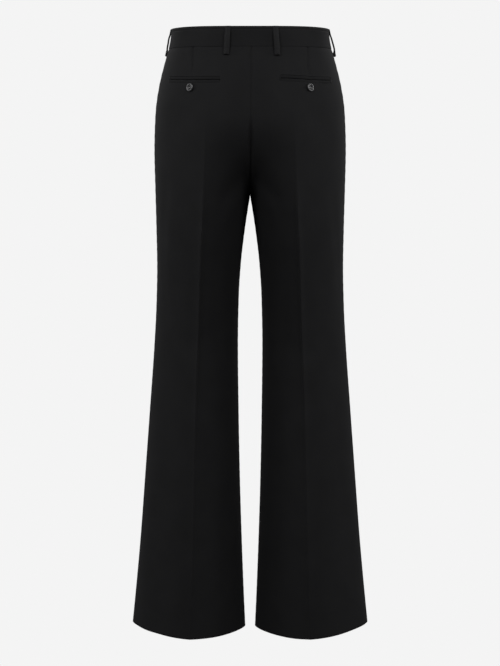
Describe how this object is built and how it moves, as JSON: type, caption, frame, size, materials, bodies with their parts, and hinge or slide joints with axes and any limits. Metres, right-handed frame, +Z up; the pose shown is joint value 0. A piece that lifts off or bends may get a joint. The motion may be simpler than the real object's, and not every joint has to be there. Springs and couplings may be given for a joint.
{
  "type": "flared trousers",
  "caption": "Tailored flared trousers filled out as worn, with pressed creases, belt loops, a lapped zip fly and buttoned back pockets.",
  "frame": {"origin": "centre of the waist opening, where the wearer holds the trousers up, on the line through both side seams", "axes": "+Z up towards the wearer's chest, -Y the trousers' front, +X the wearer's left"},
  "size_m": [0.4318, 0.2305, 1.09],
  "materials": {
    "wool": "black fine wool crepe, matte, lightly heathered",
    "button": "dark grey horn-like resin, polished",
    "zip_tape": "black woven polyester tape",
    "zip_metal": "dark gunmetal plating"
  },
  "bodies": {
    "root": {"back_panel_left": "wool", "back_panel_right": "wool", "front_panel_left": "wool", "front_panel_right": "wool", "waistband_left": "wool", "waistband_right": "wool", "belt_loop_back_left": "wool", "belt_loop_back_right": "wool", "belt_loop_side_left": "wool", "belt_loop_side_right": "wool", "belt_loop_front_left": "wool", "belt_loop_front_right": "wool", "pocket_jet_upper_left": "wool", "pocket_jet_lower_left": "wool", "pocket_jet_upper_right": "wool", "pocket_jet_lower_right": "wool", "pocket_button_left": "button", "pocket_button_right": "button", "waistband_button": "button", "zip_tape": "zip_tape", "zip_chain": "zip_metal", "zip_slider": "zip_metal"}
  },
  "joints": []
}
